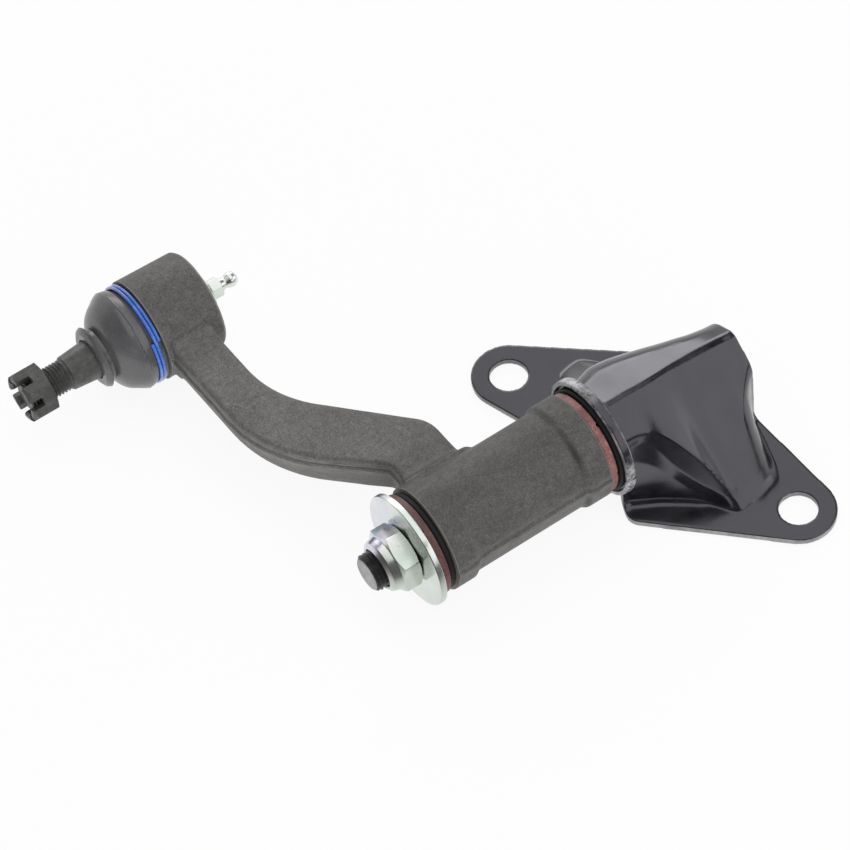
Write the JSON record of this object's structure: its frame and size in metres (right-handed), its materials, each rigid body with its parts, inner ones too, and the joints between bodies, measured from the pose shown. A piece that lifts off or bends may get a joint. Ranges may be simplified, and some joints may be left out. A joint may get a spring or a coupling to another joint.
{
  "type": "idler arm",
  "caption": "Forged idler arm on a pivot shaft, with a pressed mounting bracket at one end and a booted ball joint at the other.",
  "frame": {"origin": "middle of the whole part's footprint, on the plane of the bracket's mounting face", "axes": "+X along the pivot shaft from its nut to the bracket, +Y from the pivot to the ball joint, +Z away from the mounting face"},
  "size_m": [0.208, 0.2252, 0.0483],
  "materials": {
    "forged_steel": "dark warm grey phosphate over a fine forged grain",
    "black_paint": "glossy black paint that reads dark blue-grey under a white sky",
    "zinc_plate": "bright zinc plating with a faint green and violet tint",
    "blackened_steel": "black oxide with bare end face",
    "phosphated_steel": "dark grey phosphate",
    "bushing_resin": "red-brown bearing resin",
    "black_rubber": "matt dark grey rubber",
    "blue_spring_wire": "blue coated spring wire",
    "seat_plastic": "off-white bearing plastic",
    "bright_steel": "bright spring steel"
  },
  "bodies": {
    "bracket": {"mounting_bracket": "black_paint", "collar_ring": "black_paint", "pivot_shaft": "blackened_steel", "pivot_washer": "zinc_plate", "pivot_nut": "zinc_plate"},
    "arm": {"arm_forging": "forged_steel", "pivot_bushing_nut_side": "bushing_resin", "pivot_bushing_bracket_side": "bushing_resin", "dust_seal_nut_side": "black_rubber", "dust_seal_bracket_side": "black_rubber", "lower_ball_seat": "seat_plastic", "upper_ball_seat": "seat_plastic", "preload_spring": "bright_steel", "hub_cover": "zinc_plate", "grease_nipple": "zinc_plate", "nipple_check_ball": "bright_steel", "nipple_spring": "bright_steel", "dust_boot": "black_rubber", "boot_clamp_wire": "blue_spring_wire"},
    "boot_lip": {"boot_lip_ring": "black_rubber"},
    "stud": {"ball_stud": "phosphated_steel", "castle_nut": "phosphated_steel"}
  },
  "joints": [
    {"name": "arm_swing", "type": "hinge", "parent": "bracket", "child": "arm", "pos_m": [0.0418, -0.04548, 0.0257], "axis": [1, 0, 0], "range_deg": [-39.3, 44.7]},
    {"name": "stud_tilt", "type": "hinge", "parent": "arm", "child": "boot_lip", "pos_m": [-0.0452, 0.09289, 0.0197], "axis": [0, 0, 1], "range_deg": [-20, 20], "deforming": ["dust_boot"]},
    {"name": "stud_spin", "type": "hinge", "parent": "boot_lip", "child": "stud", "pos_m": [-0.0452, 0.09289, 0.0197], "axis": [1, 0, 0], "continuous": true}
  ]
}
